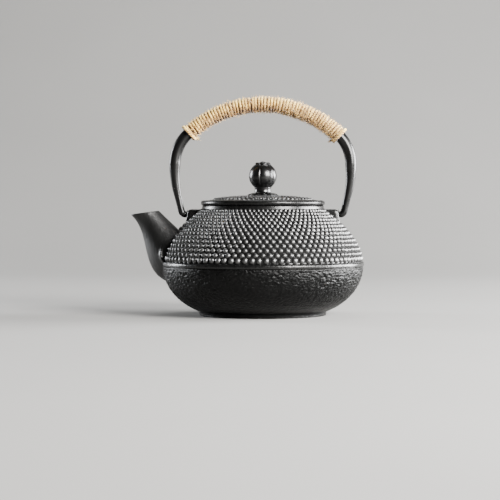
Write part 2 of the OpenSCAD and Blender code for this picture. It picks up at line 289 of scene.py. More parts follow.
def twine_material(name, dark, mid, pale):
    """Hemp: straw-coloured fibres that run along the strand, with darker and paler lengths,
    and painted shade that darkens the underside and lifts the top a little."""
    coat = Coat(name)
    along = coat.node("Mapping", {"Vector": coat.node("UVMap", {}, "UV"),
                                  "Scale": (60.0, 9.0, 1.0)}, "Vector")
    fibres = coat.noise(1.0, 4, 0.6, along)
    share = coat.span(coat.noise(180, 6, 0.75), -0.12, 0.74)
    blend = coat.node("Math", {0: fibres, 1: 0.5, 2: share}, "Value", operation="MULTIPLY_ADD")
    # Painted shade: the colour darkens where the surface faces down and lightens a little where it
    # faces up
    normal = coat.node("TexCoord", {}, "Normal")
    facing_up = coat.node("SeparateXYZ", {"Vector": normal}, "Z")
    underside_shade = coat.span(facing_up, -0.33, 0.07, -0.8, 0.4)
    shaded_blend = coat.node("Math", {0: blend, 1: underside_shade}, "Value", operation="ADD")
    return coat.finish({"Base Color": coat.ramp(shaded_blend, (0.28, dark), (0.48, mid), (0.72, pale)),
                        "Roughness": 0.82, "Sheen Weight": 0.25, "Sheen Roughness": 0.5,
                        "Normal": coat.bump(fibres, 0.7, 0.15 * MM)})


def steel_material(name, rough_low, rough_high):
    """Satin stainless steel with a turned grain."""
    coat = Coat(name)
    haze = coat.noise(700, 4, 0.6)
    colour = coat.ramp(haze, (0.3, (0.5, 0.5, 0.51)), (0.75, (0.68, 0.68, 0.69)))
    return coat.finish({"Base Color": colour, "Metallic": 1.0,
                        "Roughness": coat.span(haze, rough_low, rough_high),
                        "Normal": coat.bump(haze, 0.12, 0.05 * MM)})


def paper_material(name, colour):
    """A matt studio surface with a trace of mottle."""
    coat = Coat(name)
    shaded = tuple(c * 0.97 for c in colour)
    return coat.finish({"Base Color": coat.ramp(coat.noise(6, 3, 0.5), (0.3, shaded), (0.7, colour)),
                        "Roughness": 0.85})


iron_shell = iron_material("iron_shell", 0.0006, 0.002, 0.24, 0.42, 3.4, gloss=0.12)
iron_nails = iron_material("iron_nails", 0.001, 0.004, 0.26, 0.38, 0.5, gloss=0.8, worn=0.04)
iron_between = iron_material("iron_between", 0.001, 0.003, 0.55, 0.72, 0.8, gloss=0.08)
iron_smooth = iron_material("iron_smooth", 0.001, 0.004, 0.22, 0.34, 0.5, gloss=0.32)
iron_lid = iron_material("iron_lid", 0.001, 0.004, 0.22, 0.34, 0.5, gloss=0.2)
iron_brushed = iron_material("iron_brushed", 0.001, 0.005, 0.30, 0.46, 1.5, gloss=0.4, stretch=0.22)
knob_gloss = enamel_material("knob_gloss", 0.20, 0.32, 0.05, 0.38)
bail_gloss = enamel_material("bail_gloss", 0.22, 0.34, 0.10, 0.27)
hemp = twine_material("hemp", (0.04, 0.014, 0.003), (0.36, 0.18, 0.035), (0.97, 0.70, 0.17))
# A copy of hemp darkened with painted shade, for the under layer that shows between the turns
hemp_painted_shade = twine_material("hemp_painted_shade", (0.03, 0.012, 0.003), (0.07, 0.032, 0.009),
                            (0.12, 0.058, 0.018))
hemp_fuzz = twine_material("hemp_fuzz", (0.16, 0.075, 0.02), (0.46, 0.26, 0.08),
                           (0.84, 0.58, 0.21))
steel = steel_material("steel", 0.24, 0.40)
steel_mesh = steel_material("steel_mesh", 0.30, 0.46)


# ---------------------------------------------------------------- pot
def band_outline():
    """The ridge band between belly and shoulder, sharp below and rounded off above: (r, z)."""
    return np.concatenate([
        line((BAND_R - 1.5 * MM, 36.2 * MM), (BAND_R - 1.5 * MM, 36.6 * MM), 1),
        ellipse_arc((BAND_R - 0.6 * MM, 37.1 * MM), 0.6 * MM, 0.5 * MM, -86, -6, 4),
        ellipse_arc((BAND_R - 1.5 * MM, 38.1 * MM), 1.5 * MM, 1.8 * MM, 0, 68, 6),
        line((BAND_R - 2.4 * MM, 40.2 * MM), (SHOULDER_A - 0.1 * MM, 40.9 * MM), 1)])


def pot_outline():
    """Closed half section of the pot's wall, (r, z), from the foot's middle round to the floor,
    and how many of its points are on the outside."""
    foot_angle = -math.degrees(math.acos((FOOT_R - BELLY_CENTRE_R) / BELLY_A))
    neck_h = shoulder_height(NECK_R) - WIDEST_Z
    mouth_h = CAVITY_REACH * (1 - MOUTH_R / CAVITY_A) ** (1 / SHOULDER_POWER)
    outside = [
        line((0, 0), (FOOT_R - 1 * MM, 0), 4),
        ellipse_arc((FOOT_R - 1 * MM, 1 * MM), 1 * MM, 1 * MM, -80, 0, 4),
        ellipse_arc((BELLY_CENTRE_R, WIDEST_Z), BELLY_A, WIDEST_Z, foot_angle, -3.1, 78),
        band_outline(),
        shoulder_arc(SHOULDER_A, SHOULDER_REACH, 3.2 * MM, neck_h - 0.5 * MM, 24),
        ellipse_arc((NECK_R + 0.8 * MM, NECK_TOP - 2.2 * MM), 0.8 * MM, 0.9 * MM, 250, 180, 3),
        ellipse_arc((NECK_R - 0.9 * MM, NECK_TOP - 0.9 * MM), 0.9 * MM, 0.9 * MM, 0, 90, 5)]
    inside = [
        line((LEDGE_R, NECK_TOP), (LEDGE_R, LEDGE_Z), 2),
        line((MOUTH_R, LEDGE_Z), (MOUTH_R, LEDGE_Z - 1 * MM), 1),
        shoulder_arc(CAVITY_A, CAVITY_REACH, mouth_h, 0, 14),
        ellipse_arc((BELLY_CENTRE_R, WIDEST_Z), CAVITY_A - BELLY_CENTRE_R,
                    WIDEST_Z - CAVITY_FLOOR, -8, -90, 10),
        line((BELLY_CENTRE_R * 0.8, CAVITY_FLOOR), (0, CAVITY_FLOOR), 2)]
    return np.concatenate(outside + inside), sum(len(part) for part in outside)


def cast_relief(point, z):
    """How far the rough sand-cast belly stands out at a point: pebbled under the band, calmer
    towards the foot, and almost smooth on the band."""
    fine = noise.noise(point * 840 + Vector((7, 3, 1)))
    if z > BAND_FOOT_Z:
        return 0.14 * fine * MM
    pebble = 1 - 2 * abs(noise.noise(point * 540))
    strength = smoothstep(-6 * MM, 20 * MM, z) * (1 - 0.5 * smoothstep(34.6 * MM, 36 * MM, z))
    return float(strength) * (0.42 * pebble + 0.62 * fine - 0.24) * MM


def pot_shell():
    """The cast wall with its band, rough belly, neck and ledge."""
    outline, outer_count = pot_outline()
    rings = revolve(outline, 560)
    for i in range(outer_count):
        r, z = outline[i]
        if r < FOOT_R * 0.5 or z > BAND_TOP_Z:
            continue
        for j in range(rings.shape[1]):
            x, y, _ = rings[i, j]
            grow = 1 + cast_relief(Vector((x, y, z)), z) / r
            rings[i, j, :2] = x * grow, y * grow
    points, faces = skin(rings)
    return build("pot_shell", points, faces[:-2], iron_shell)


def dull_between_nails(shell):
    """Gives the shoulder's skin between the hobnails a duller coating, and the neck and the
    band a smoother one."""
    for material in (iron_between, iron_smooth):
        shell.data.materials.append(material)
    for face in shell.data.polygons:
        x, y, z = face.center
        if math.hypot(x, y) < shell_radius(z) - 1 * MM:
            continue
        if NAILS_LOW_Z < z < NAILS_TOP_Z:
            face.material_index = 1
        elif z > BAND_FOOT_Z - 0.2 * MM:
            face.material_index = 2


def spout_curve(points, t):
    """Cubic curve of (x, z) through the first and last of four points."""
    p = np.asarray(points)
    u = 1 - t
    return u ** 3 * p[0] + 3 * u * u * t * p[1] + 3 * u * t * t * p[2] + t ** 3 * p[3]


SPOUT_TIP_Z = 74.2 * MM
SPOUT_FRONT = np.array([(-66 * MM, 23.3 * MM), (-93 * MM, 29.4 * MM), (-81.4 * MM, 59.6 * MM),
                        (spout_low.x, SPOUT_TIP_Z)])
SPOUT_BACK = np.array([(-54 * MM, 56 * MM), (-62 * MM, 63 * MM), (-70 * MM, 70.5 * MM),
                       (-76.6 * MM, spout_high.z)])
SPOUT_MOUTH_W = 14 * MM
SPOUT_ROOT_W = 44 * MM
SPOUT_WALL = 2.6 * MM
# Where the ridge band runs on up the spout's cheek and fades: (x, z)
CREST = np.array([(-68.9, 37.3), (-71.5, 38.8), (-73.4, 41.4), (-74.4, 43.4), (-74.8, 45.6),
                  (-74.5, 48.8), (-73.8, 53.0)]) * MM


def crest_relief(x, z):
    """Height of the crest at (x, z) seen from the side: soft in front and sharp behind."""
    best = (1.0, 0.0, 0.0)
    steps = len(CREST) - 1
    for i in range(steps):
        a, b = CREST[i], CREST[i + 1]
        d = b - a
        t = np.clip(np.dot((x, z) - a, d) / np.dot(d, d), 0, 1)
        gap = (x, z) - (a + t * d)
        dist = float(np.hypot(*gap))
        if dist < best[0]:
            best = (dist, d[0] * gap[1] - d[1] * gap[0], (i + t) / steps)
    dist, turn, along = best
    width = 1.1 * MM if turn > 0 else 0.8 * MM
    return 1.5 * MM * math.exp(-(dist / width) ** 2) * (1 - smoothstep(0.6, 1.0, along))


def root_fillet(clear, z):
    """How far the spout's cheeks stand out where they run into the pot, clear of it by clear.
    The fillet is fuller under the ridge band and tight beside the nails."""
    radius = (0.7 + 0.9 * (1 - float(smoothstep(30 * MM, 36 * MM, z)))) * MM
    short = min(max(1 - clear / radius, 0), 1)
    return radius * (1 - math.sqrt(1 - min(short, 0.995) ** 2))


def spout_ring(t, inset, n):
    """One section of the spout at t along it, drawn in by inset. It is sunk to mid wall where
    it would pass through the pot, and its cheeks flare where they meet it."""
    front = spout_curve(SPOUT_FRONT, t)
    back = spout_curve(SPOUT_BACK, t)
    mid = (front + back) / 2
    length = np.linalg.norm(back - front)
    along = (back - front) / length
    half_l = length / 2 - inset
    half_w = (SPOUT_MOUTH_W + (SPOUT_ROOT_W - SPOUT_MOUTH_W) * max(1 - t, 0) ** 1.5) / 2 - inset
    points = np.zeros((n, 3))
    for j in range(n):
        c, s = math.cos(TAU * j / n), math.sin(TAU * j / n)
        pinch = 1 - 0.10 * max(-c, 0) ** 2
        x, z = mid + along * half_l * c
        p = np.array([x, half_w * s * pinch, z])
        if inset == 0:
            out = np.array([along[0] * c / half_l, s / half_w, along[1] * c / half_l])
            clear = math.hypot(x, p[1]) - float(shell_radius(z))
            rise = root_fillet(clear, z) * s * s + crest_relief(x, z) * min(1, 2 * abs(s))
            p += out / np.linalg.norm(out) * rise
        reach = math.hypot(p[0], p[1])
        mid_wall = float(shell_radius(p[2])) - 1.5 * MM
        if reach < mid_wall and p[2] < NECK_TOP - 4 * MM:
            p[:2] *= mid_wall / reach
        points[j] = p
    return points


def spout():
    """The cast spout: an outer and an inner skin joined by a rounded lip and a root edge."""
    n = 160
    outer = [spout_ring(t, 0, n) for t in np.linspace(0, 1, 120)]
    mouth_out = outer[-1]
    inner = [spout_ring(t, SPOUT_WALL, n) for t in np.linspace(1, 0, 36)]
    mouth_in = spout_ring(1, SPOUT_WALL * 0.85, n)
    lip = []
    for k in range(1, 6):
        angle = math.pi * k / 6
        share = (1 - math.cos(angle)) / 2
        ring = mouth_out * (1 - share) + mouth_in * share
        ring[:, 2] += 0.55 * MM * math.sin(angle)
        lip.append(ring)
    return build("spout_casting", *skin(np.array(outer + lip + inner), loop=True), iron_brushed)


def lug(side):
    """A cast ear: lofted along X from inside the neck to its slanted end, with a bored hole."""
    half_w, top = lug_high.y, lug_high.z
    low = 66.5 * MM
    face_top_x = 55 * MM
    slant = 0.21
    corner = 2.2 * MM
    bore_r = PIN_R + 0.1 * MM
    angles = TAU * (np.arange(64) + 0.5) / 64

    def squared(share):
        """Bends a circle's sine or cosine into a rounded square's."""
        return np.copysign(abs(share) ** (2 / 7), share)

    def section(x, inset, lean):
        """Rounded rectangle across Y and Z at x, drawn in by inset; its foot leans out."""
        y = (half_w - inset) * squared(np.cos(angles))
        z = (top + low) / 2 + ((top - low) / 2 - inset) * squared(np.sin(angles))
        x = x + lean * (top - z)
        r = np.hypot(x, y)
        ground = np.where(r > NECK_R, shoulder_height(r) - 1.5 * MM, z)
        return np.column_stack([x, y, np.maximum(z, ground)])

    def circle(x, r):
        """Ring of the hole at x, with its points at the section's angles."""
        return np.column_stack([np.full(len(angles), x), r * np.cos(angles),
                                PIVOT_Z + r * np.sin(angles)])

    rings = [section(x, 0, 0) for x in np.linspace(43.5 * MM, 51 * MM, 8)]
    rings += [section(face_top_x - corner * (1 - math.sin(t)), corner * (1 - math.cos(t)) * 0.6,
                      slant * (0.3 + 0.7 * t / (math.pi / 2)))
              for t in np.linspace(0, math.pi / 2, 7)]
    face_x = face_top_x + slant * (top - PIVOT_Z)
    rings += [circle(face_x + 0.15 * MM, 3.9 * MM), circle(face_x + 0.25 * MM, 3.3 * MM),
              circle(face_x - 0.1 * MM, 2.6 * MM), circle(face_x - 0.8 * MM, bore_r),
              circle(PIN_TIP_X - 0.5 * MM, bore_r)]
    rings = np.array(rings)
    rings[:, :, 0] *= side
    name = "lug_ear_far" if side > 0 else "lug_ear_spout"
    return build(name, *skin(rings), iron_smooth)


NAIL_SIDES = 12
NAIL_SUNK = 0.35 * MM
# How worn a nail's rings are, from its sunk foot to its crown
NAIL_WEAR = (0.0, 0.0, 0.0, 0.25, 0.7)


def nail_points(centre, across, up, out, half_across, half_up, height):
    """Points and faces of one hobnail: a rounded bead, sunk a little into the wall."""
    sides = NAIL_SIDES
    points = []
    levels = ((1.0, -NAIL_SUNK), (1.0, 0.0), (0.86, 0.32 * height), (0.62, 0.66 * height),
              (0.32, 0.92 * height))
    for share, rise in levels:
        for j in range(sides):
            a = TAU * j / sides
            points.append(centre + across * (half_across * share * math.cos(a))
                          + up * (half_up * share * math.sin(a)) + out * rise)
    points.append(centre + out * height)
    faces = ring_faces(len(levels), sides, False)
    last = (len(levels) - 1) * sides
    faces += [(last + j, last + (j + 1) % sides, last + sides) for j in range(sides)]
    faces.append(tuple(reversed(range(sides))))
    return points, faces


def nail_field(name, rows, keep, rng):
    """One mesh of hobnails. Each row is (r, z, out_r, out_z, count, phase, half_across, half_up,
    height), and keep says whether there is room for a nail at a point."""
    points, faces, tips = [], [], []
    for r, z, out_r, out_z, count, phase, half_across, half_up, height in rows:
        for k in range(count):
            a = TAU * (k + phase + rng.uniform(-0.05, 0.05)) / count
            c, s = math.cos(a), math.sin(a)
            centre = np.array([r * c, r * s, z + rng.uniform(-0.09, 0.09) * MM])
            grow = 1 + rng.uniform(-0.07, 0.07)
            tall = height * (1 + rng.uniform(-0.14, 0.10))
            if not keep(centre):
                continue
            out = np.array([out_r * c, out_r * s, out_z])
            across = np.array([-s, c, 0])
            up = np.cross(out, across)
            new_points, new_faces = nail_points(
                centre, across, up, out, half_across * grow, half_up * grow, tall)
            base = len(points)
            points += new_points
            faces += [tuple(base + i for i in face) for face in new_faces]
            tips += [wear for wear in NAIL_WEAR for _ in range(NAIL_SIDES)] + [1.0]
    obj = build(name, points, faces, iron_nails, weld=0)
    layer = obj.data.attributes.new("tip", "FLOAT", "POINT")
    layer.data.foreach_set("value", tips)
    return obj


def shoulder_rows():
    """Rows of hobnails at even steps down the shoulder, each shifted by half a pitch."""
    curve = shoulder_arc(SHOULDER_A, SHOULDER_REACH, 1 * MM, 42 * MM, 2000)
    length = np.concatenate([[0], np.cumsum(np.linalg.norm(np.diff(curve, axis=0), axis=1))])
    first = np.interp(NAILS_LOW_Z + 1.5 * MM, curve[:, 1], length)
    last = np.interp(NAILS_TOP_Z - 0.2 * MM, curve[:, 1], length)
    rows = []
    count, around = 14, 90
    for i in range(count):
        u = i / (count - 1)
        at = first + (last - first) * (u + 0.015 * math.sin(math.pi * u))
        r, z = np.interp(at, length, curve[:, 0]), np.interp(at, length, curve[:, 1])
        high = (z - WIDEST_Z) / SHOULDER_REACH
        slope = SHOULDER_A / SHOULDER_REACH * SHOULDER_POWER * high ** (SHOULDER_POWER - 1)
        out = np.array([1, slope]) / math.hypot(1, slope)
        pitch = TAU * r / around
        half_across = (0.44 - 0.01 * (1 - u)) * pitch
        half_up = min(0.58 * (last - first) / (count - 1), 1.25 * half_across)
        height = 0.36 * (half_across + half_up)
        lowest = 1.36 if i == 0 else 1.0
        rows.append((r, z, *out, around, 0.5 * (i % 2), half_across, half_up * lowest, height))
    return rows


def clear_of(obstacles, gap):
    """A test that a point is outside every obstacle by at least gap."""
    trees = []
    for obj in obstacles:
        bm = bmesh.new()
        bm.from_mesh(obj.data)
        trees.append(BVHTree.FromBMesh(bm))
        bm.free()

    way = Vector((0.12, 0.31, 0.94)).normalized()

    def keep(point):
        """True where the point is clear: no wall is near, and a ray out crosses them evenly."""
        spot = Vector(point)
        for tree in trees:
            if tree.find_nearest(spot)[3] < gap:
                return False
            crossed = 0
            start = spot
            while (hit := tree.ray_cast(start, way)[0]) is not None:
                crossed += 1
                start = hit + way * 1e-6
            if crossed % 2:
                return False
        return True
    return keep


def cylinder_cutter(centre, axis, radius, length, sides=64):
    """A plain tool body for cutting holes, along "X" or "Z"."""
    angles = [TAU * j / sides for j in range(sides)]
    rings = np.array([[(end * length, radius * math.cos(a), radius * math.sin(a)) for a in angles]
                      for end in (-0.5, 0.5)])
    if axis == "Z":
        rings = rings[:, :, (1, 2, 0)]
    return build("cutter", *skin(rings + np.array(centre)), iron_smooth)


def cut(obj, cutters):
    """Takes the cutters out of obj and deletes them."""
    for cutter in cutters:
        modifier = obj.modifiers.new("cut", "BOOLEAN")
        modifier.operation = "DIFFERENCE"
        modifier.solver = "EXACT"
        modifier.object = cutter
    graph = bpy.context.evaluated_depsgraph_get()
    mesh = bpy.data.meshes.new_from_object(obj.evaluated_get(graph))
    obj.modifiers.clear()
    old = obj.data
    obj.data = mesh
    bpy.data.meshes.remove(old)
    for cutter in cutters:
        data = cutter.data
        bpy.data.objects.remove(cutter)
        bpy.data.meshes.remove(data)


def make_pot():
    """The casting: wall, spout, ears and hobnails, all on the pot's body."""
    shell = pot_shell()
    spout_port = cylinder_cutter((-70 * MM, 0, 45 * MM), "X", 9 * MM, 30 * MM)
    pin_r = PIN_R + 0.15 * MM
    pin_holes = [cylinder_cutter((side * 55 * MM, 0, PIVOT_Z), "X", pin_r, 12.4 * MM, 32)
                 for side in (-1, 1)]
    cut(shell, [spout_port] + pin_holes)
    dull_between_nails(shell)
    casting = spout()
    ears = [lug(-1), lug(1)]
    beside = clear_of([casting] + ears, 1.1 * MM)
    nails = nail_field("pot_hobnails", shoulder_rows(), beside, random.Random(11))
    place(shell, "pot", "cast_iron", "pot_body")
    place(nails, "pot", "cast_iron")
    place(casting, "pot", "cast_iron", "spout")
    place(ears[0], "pot", "cast_iron", "lug_spout_side")
    place(ears[1], "pot", "cast_iron", "lug_far_side")


# ---------------------------------------------------------------- lid and knob
LID_TOP = seat_low.z
LID_R = lid_high.x
LID_THICK = 2.8 * MM
FLANGE_R = 34.2 * MM
FLANGE_IN = FLANGE_R - 2.5 * MM
DOME_EDGE_R = 41 * MM
DOME_EDGE_Z = NECK_TOP + 3.9 * MM
BOSS_R = 12.4 * MM
VENT_R = 1.4 * MM
VENT_X = 27 * MM


def dome_height(r):
    """Height of the lid's top surface at radius r."""
    share = max(r - BOSS_R, 0) / (DOME_EDGE_R - BOSS_R)
    return LID_TOP - (LID_TOP - DOME_EDGE_Z) * share ** 2


def lid_outline():
    """Closed half section of the lid: underside, flange, rolled rim, dome."""
    rim_c = (LID_R - 2 * MM, NECK_TOP + 2 * MM)
    under = [(r, dome_height(r) - LID_THICK) for r in np.linspace(0, FLANGE_IN - 0.6 * MM, 12)]
    top = [(r, dome_height(r)) for r in np.linspace(DOME_EDGE_R, 0, 24)]
    return np.concatenate([
        under,
        line((FLANGE_IN, NECK_TOP + 0.6 * MM), (FLANGE_IN, lid_low.z + 0.5 * MM), 3),
        ellipse_arc(((FLANGE_IN + FLANGE_R) / 2, lid_low.z + 0.5 * MM),
                    1.25 * MM, 0.5 * MM, 190, 350, 5),
        line((FLANGE_R, lid_low.z + 0.6 * MM), (FLANGE_R, NECK_TOP), 3),
        ellipse_arc(rim_c, 2 * MM, 2 * MM, -90, 105, 16),
        line((LID_R - 3.6 * MM, DOME_EDGE_Z - 0.25 * MM),
             (LID_R - 4.2 * MM, DOME_EDGE_Z - 0.12 * MM), 2),
        top])


def lid_rows():
    """Rings of hobnails over the lid's dome, from its smooth margin in to the knob's seat."""
    rows = []
    rings = ((35.6, 60), (32.9, 60), (30.2, 60), (27.5, 60), (24.8, 54), (22.2, 48), (19.7, 42),
             (17.3, 36), (15.0, 32))
    for i, (radius, count) in enumerate(rings):
        r = radius * MM
        slope = -2 * (LID_TOP - DOME_EDGE_Z) * max(r - BOSS_R, 0) / (DOME_EDGE_R - BOSS_R) ** 2
        out = np.array([-slope, 1]) / math.hypot(slope, 1)
        pitch = TAU * r / count
        half_across = min(0.41 * pitch, 1.35 * MM)
        half_up = min(1.25 * MM, half_across)
        rows.append((r, dome_height(r), *out, count, 0.5 * (i % 2), half_across, half_up,
                     0.7 * half_across))
    return rows


def polar_relief(radius_at, height_at, low_z, bore, n, rings):
    """Rings of a flower-like disc about Z: a flat underside, an edge and a relief on top.
    radius_at(a) is the outline, height_at(a, u) the height at u from the middle (0) out (1)."""
    a = np.arange(n) * TAU / n
    flat = [(0.0, 0.97, 0), (1.0, 0.97, 0)]
    raised = [(1 - i / (rings - 1), 1.0, 1) for i in range(rings)]
    out = []
    for u, trim, lift in flat + raised:
        r = bore + (radius_at(a) * trim - bore) * u
        out.append(np.column_stack([r * np.cos(a), r * np.sin(a), low_z + lift * height_at(a, u)]))
    return np.array(out)


def lobes(a, count, power):
    """1 at the middle of each of count lobes round a circle, and 0 between them."""
    return abs(np.cos(count * a / 2)) ** power


def knob_seat():
    """The flower washer: eight rounded petals round a raised middle."""
    petals = 8
    reach = 11.8 * MM
    tall = seat_high.z - seat_low.z

    def edge(a):
        """Outline radius."""
        return reach * (0.80 + 0.20 * lobes(a, petals, 0.55))

    def relief(a, u):
        """Petals swell, part at the grooves between them, and rise to the collar."""
        swell = lobes(a, petals, 0.6)
        crown = math.sqrt(max(1 - (u / 1.02) ** 2.6, 0))
        groove = (1 - swell) * smoothstep(0.40, 0.60, u)
        return tall * np.maximum(crown * (1 - 0.55 * groove), 0.12)

    rings = polar_relief(edge, relief, seat_low.z, 2.05 * MM, 192, 26)
    return build("knob_flower_seat", *skin(rings, loop=True), knob_gloss)


def knob_profile():
    """(r, z, lobe share) from the bottom of the knob's neck to its top, then down the bore."""
    centre = LID_TOP + 15.1 * MM
    ball_r = knob_high.x + 0.05 * MM
    neck_r = 6.3 * MM
    low = knob_low.z
    bore = 2.06 * MM
    profile = [(bore, low, 0), (neck_r - 0.7 * MM, low, 0), (neck_r - 0.1 * MM, low + 0.15 * MM, 0)]
    profile += [(neck_r - 0.25 * MM * math.sin(math.pi * t), low + (0.3 + 3.2 * t) * MM, 0)
                for t in np.linspace(0, 1, 9)]
    start = math.degrees(math.asin((low + 3.9 * MM - centre) / ball_r))
    top = math.degrees(math.asin((knob_high.z - centre) / ball_r)) - 1.5
    for angle in np.linspace(start, top, 44):
        c, s = math.cos(math.radians(angle)), math.sin(math.radians(angle))
        profile.append((ball_r * c, centre + ball_r * s, c ** 1.3))
    profile.append((bore + 0.8 * MM, knob_high.z, 0))
    profile.append((bore, knob_high.z - 0.2 * MM, 0))
    return profile


def knob():
    """The lobed ball on its short neck."""
    n = 216
    grooves = 6
    first_groove = math.radians(-102)
    turn = (np.arange(n) * TAU / n - first_groove) * grooves / TAU
    off = abs(turn - np.round(turn)) * 2
    dip = 0.055 * np.exp(-(off / 0.10) ** 2) + 0.012 * (1 - off) ** 3
    profile = np.array(knob_profile())
    rings = revolve(profile[:, :2], n)
    rings[:, :, :2] *= (1 - profile[:, 2:] * dip)[:, :, None]
    return build("knob_lobed_ball", *skin(rings, loop=True), knob_gloss)


def finial():
    """The small blossom that heads the stud: five buds round a bead."""
    buds = 5
    reach = 6.2 * MM
    tall = finial_high.z - finial_low.z
    ball_r, ball_z = knob_high.x, knob_high.z - 9.1 * MM

    def edge(a):
        """Outline radius."""
        return reach * (0.72 + 0.28 * lobes(a + math.pi / 2, buds, 0.7))

    def relief(a, u):
        """Buds near the edge and a bead in the middle."""
        bud = lobes(a + math.pi / 2, buds, 0.8)
        ring = 0.62 * bud * math.sqrt(max(1 - ((u - 0.68) / 0.34) ** 2, 0))
        bead = math.sqrt(max(1 - (u / 0.42) ** 2, 0))
        return tall * np.maximum(0.10 + 0.85 * ring, bead)

    rings = polar_relief(edge, relief, finial_low.z, 0.0, 140, 28)
    ball_top = ball_z + np.sqrt(ball_r ** 2 - rings[:, :, 0] ** 2 - rings[:, :, 1] ** 2)
    rings[:, :, 2] -= np.clip(finial_low.z - 0.08 * MM - ball_top, 0, None)
    return build("knob_blossom", *skin(rings, loop=True), knob_gloss)


def make_lid():
    """The lid's casting, its hobnails, the knob and what stands on and through it."""
    casting = build("lid_casting", *turned(lid_outline(), 360), iron_lid)
    cut(casting, [
        cylinder_cutter((VENT_X, 0, LID_TOP), "Z", VENT_R, 20 * MM, 32),
        cylinder_cutter((0, 0, LID_TOP), "Z", 2.03 * MM, 20 * MM, 32)])

    def keep(point):
        """Leaves a bare ring round the vent."""
        return math.hypot(point[0] - VENT_X, point[1]) > VENT_R + 1.5 * MM

    nails = nail_field("lid_hobnails", lid_rows(), keep, random.Random(23))
    place(casting, "lid", "cast_iron", "lid")
    place(nails, "lid", "cast_iron")
    place(knob_seat(), "lid", "knob_enamel", "knob_seat")
    place(finial(), "lid", "knob_enamel", "knob_finial")
    place(knob(), "knob", "knob_enamel", "knob")
    for node in ("knob_stud", "knob_washer", "knob_nut"):
        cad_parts[node].data.materials.clear()
        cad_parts[node].data.materials.append(steel)


# ---------------------------------------------------------------- bail
BAIL_TOP = 155.8 * MM
# Arcs of the centreline from the top: radius and the heading at its end, in degrees
BAIL_ARCS = ((81.5 * MM, 42.5), (31 * MM, 86.0), (81.5 * MM, 103.0))
HOOK_BEND_R = 3.2 * MM
BAIL_R = 4.25 * MM
HOOK_R = 2.5 * MM
WRAP_R = (wrap_high.y - wrap_low.y) / 2
WRAP_END_SPOUT = 44.0
WRAP_END_FAR = 49.0


def heading(degrees):
    """Unit (x, z) square to the bail, outwards, where it has turned by so many degrees."""
    return np.array([math.sin(math.radians(degrees)), math.cos(math.radians(degrees))])


def onward(degrees):
    """Unit (x, z) along the bail, away from its top, at that heading."""
    return np.array([math.cos(math.radians(degrees)), -math.sin(math.radians(degrees))])


def bail_pieces():
    """Half the centreline as (kind, centre or start, radius or length, heading0, heading1)."""
    pieces = []
    centre = np.array([0, BAIL_TOP - BAIL_ARCS[0][0]])
    before = 0.0
    for i, (radius, after) in enumerate(BAIL_ARCS):
        if i:
            centre = centre + (BAIL_ARCS[i - 1][0] - radius) * heading(before)
        pieces.append(("arc", centre, radius, before, after))
        before = after
    leg_top = centre + BAIL_ARCS[-1][0] * heading(before)
    drop = leg_top[1] - (PIVOT_Z + HOOK_BEND_R + HOOK_BEND_R * heading(before)[1])
    length = drop / math.sin(math.radians(before))
    pieces.append(("line", leg_top, length, before, before))
    hook_centre = leg_top + length * onward(before) - HOOK_BEND_R * heading(before)
    pieces.append(("arc", hook_centre, HOOK_BEND_R, before, 180.0))
    hook_end = hook_centre + HOOK_BEND_R * heading(180.0)
    pieces.append(("line", hook_end, hook_end[0] - PIN_TIP_X, 180.0, 180.0))
    return pieces


BAIL = bail_pieces()
BAIL_LENGTHS = [p[2] if p[0] == "line" else p[2] * math.radians(p[4] - p[3]) for p in BAIL]
BAIL_HALF = sum(BAIL_LENGTHS)
# Where the twine starts and ends along the bail from its top
WRAP_FROM = -BAIL_LENGTHS[0] - BAIL_ARCS[1][0] * math.radians(WRAP_END_SPOUT - BAIL_ARCS[0][1])
WRAP_TO = BAIL_LENGTHS[0] + BAIL_ARCS[1][0] * math.radians(WRAP_END_FAR - BAIL_ARCS[0][1])


def bail_at(s):
    """Position (x, z) and outward direction (x, z) at s along the bail from its top."""
    side = -1 if s < 0 else 1
    left = abs(s)
    for (kind, origin, size, start, _), length in zip(BAIL, BAIL_LENGTHS):
        if left <= length:
            break
        left -= length
    else:
        left = length
    if kind == "arc":
        turned = start + math.degrees(left / size)
        spot = origin + size * heading(turned)
    else:
        turned = start
        spot = origin + left * onward(start)
    out = heading(turned)
    return np.array([side * spot[0], spot[1]]), np.array([side * out[0], out[1]])


def rod_radius(s, z):
    """The rod is full under the twine and thins towards its hooks."""
    share = float(np.clip((z - 80 * MM) / (32 * MM), 0, 1)) ** 1.4
    r = HOOK_R + (BAIL_R - HOOK_R) * share
    from_tip = BAIL_HALF - abs(s)
    r += (PIN_R - r) * float(1 - smoothstep(7.2 * MM, 9.0 * MM, from_tip))
    return r * math.sqrt(1 - (1 - min(from_tip / (1.2 * MM), 1)) ** 2) + 0.02 * MM


def bail_frame(s, turn):
    """Middle of the bail at s, the way out of it at a turn in radians, and the way along it."""
    spot, out = bail_at(s)
    radial = np.array([out[0] * math.cos(turn), math.sin(turn), out[1] * math.cos(turn)])
    return np.array([spot[0], 0, spot[1]]), radial, np.array([out[1], 0, -out[0]])


def sleeve(stations, sides, radius_at):
    """Points and faces of a skin about the bail through rings at the stations along it.
    radius_at(s, a) is its radius at angle a there."""
    rings = []
    for s in stations:
        ring = []
        for j in range(sides):
            a = TAU * j / sides
            centre, radial, _ = bail_frame(s, a)
            ring.append(centre + radial * radius_at(s, a))
        rings.append(ring)
    return skin(np.array(rings))


